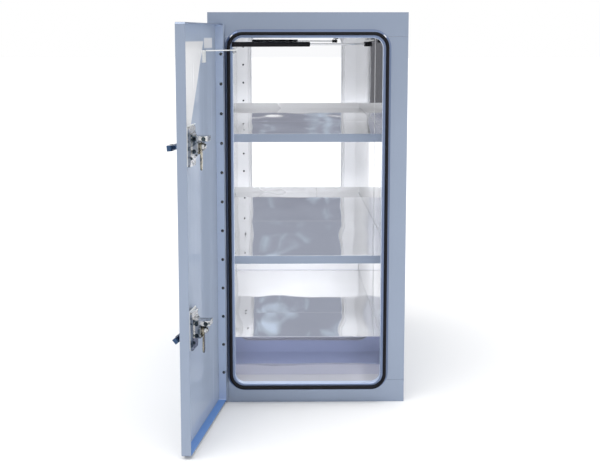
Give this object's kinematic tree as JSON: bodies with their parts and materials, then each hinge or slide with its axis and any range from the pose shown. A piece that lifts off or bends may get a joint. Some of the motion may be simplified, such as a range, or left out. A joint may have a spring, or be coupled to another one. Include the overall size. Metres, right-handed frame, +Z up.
{
  "type": "upright storage cabinet",
  "caption": "Tall sheet-aluminium cabinet with a gasketed pan door on a continuous hinge, folding T-handle latches, a gas strut stay, fixed lipped shelves and a mirror-bright inside.",
  "frame": {"origin": "centre of the base panel's underside", "axes": "+Z up; the door side faces -Y; +X to the right when looking at the door side"},
  "size_m": [0.698, 1.8137, 1.219],
  "materials": {
    "brushed_case": "fine vertical mill grain, satin",
    "polished_inside": "slightly wavy mirror-bright sheet",
    "seal_rubber": "dull moulded rubber",
    "strut_black": "satin black enamel",
    "chrome": "bright plated",
    "latch_steel": "zinc-plated pressed steel"
  },
  "bodies": {
    "case": {"back_panel": "polished_inside", "bottom_rail": "brushed_case", "door_seal": "seal_rubber", "floor_panel": "polished_inside", "floor_retainer": "brushed_case", "hinge_frame_leaf": "latch_steel", "hinge_pin": "latch_steel", "left_side_panel": "brushed_case", "left_stile": "brushed_case", "lower_shelf": "polished_inside", "lower_shelf_rail_left": "brushed_case", "lower_shelf_rail_right": "brushed_case", "opening_rim": "polished_inside", "right_side_panel": "brushed_case", "right_stile": "brushed_case", "strut_bracket": "latch_steel", "strut_stud": "latch_steel", "top_panel": "brushed_case", "top_rail": "brushed_case", "upper_shelf": "polished_inside", "upper_shelf_rail_left": "brushed_case", "upper_shelf_rail_right": "brushed_case"},
    "door": {"upper_latch_dish": "latch_steel", "upper_latch_housing": "latch_steel", "lower_latch_dish": "latch_steel", "lower_latch_housing": "latch_steel", "door_pan": "brushed_case", "hinge_door_leaf": "latch_steel", "stay_arm": "polished_inside", "stay_stud": "latch_steel", "stay_nut": "latch_steel"},
    "strut_rod_body": {"strut_rod": "chrome", "strut_rod_socket": "strut_black"},
    "strut_tube_body": {"strut_tube": "strut_black", "strut_tube_socket": "strut_black"},
    "upper_spindle": {"upper_latch_spindle": "latch_steel", "upper_cam_arm": "latch_steel", "upper_cam_nut": "latch_steel", "upper_handle_pin": "chrome"},
    "upper_handle": {"upper_t_handle": "chrome"},
    "upper_lock": {"upper_lock_plug": "latch_steel"},
    "lower_spindle": {"lower_latch_spindle": "latch_steel", "lower_cam_arm": "latch_steel", "lower_cam_nut": "latch_steel", "lower_handle_pin": "chrome"},
    "lower_handle": {"lower_t_handle": "chrome"},
    "lower_lock": {"lower_lock_plug": "latch_steel"}
  },
  "joints": [
    {"name": "door_hinge", "type": "hinge", "parent": "case", "child": "door", "pos_m": [-0.256, -0.64, 0.6], "axis": [0, 0, 1], "range_deg": [0, 98]},
    {"name": "upper_handle_turn", "type": "hinge", "parent": "door", "child": "upper_spindle", "pos_m": [-0.33902, -1.07266, 0.852], "axis": [-0.9903, 0.1392, 0], "range_deg": [0, 90]},
    {"name": "upper_handle_fold", "type": "hinge", "parent": "upper_spindle", "child": "upper_handle", "pos_m": [-0.33902, -1.07266, 0.852], "axis": [0.1392, 0.9903, 0], "range_deg": [-85, 5]},
    {"name": "upper_lock_turn", "type": "hinge", "parent": "upper_handle", "child": "upper_lock", "pos_m": [-0.38045, -1.06683, 0.84834], "axis": [-0.0863, 0.0121, 0.9962], "range_deg": [0, 90]},
    {"name": "lower_handle_turn", "type": "hinge", "parent": "door", "child": "lower_spindle", "pos_m": [-0.33902, -1.07266, 0.343], "axis": [-0.9903, 0.1392, 0], "range_deg": [0, 90]},
    {"name": "lower_handle_fold", "type": "hinge", "parent": "lower_spindle", "child": "lower_handle", "pos_m": [-0.33902, -1.07266, 0.343], "axis": [0.1392, 0.9903, 0], "range_deg": [-50, 40]},
    {"name": "lower_lock_turn", "type": "hinge", "parent": "lower_handle", "child": "lower_lock", "pos_m": [-0.37088, -1.06818, 0.316], "axis": [-0.6365, 0.0895, 0.766], "range_deg": [0, 90]},
    {"name": "strut_swing", "type": "hinge", "parent": "case", "child": "strut_rod_body", "pos_m": [0.195, -0.535, 1.123], "axis": [0, 0, 1], "range_deg": [-12.17, 0.2]},
    {"name": "strut_slide", "type": "slide", "parent": "strut_rod_body", "child": "strut_tube_body", "axis": [-0.9336, -0.3582, 0], "range_m": [-0.04885, 0.0005]}
  ],
  "couplings": [
    {"joint": "strut_swing", "follows": "door_hinge", "ratio": -0.12219},
    {"joint": "strut_slide", "follows": "door_hinge", "m_per_rad": -0.02827}
  ]
}
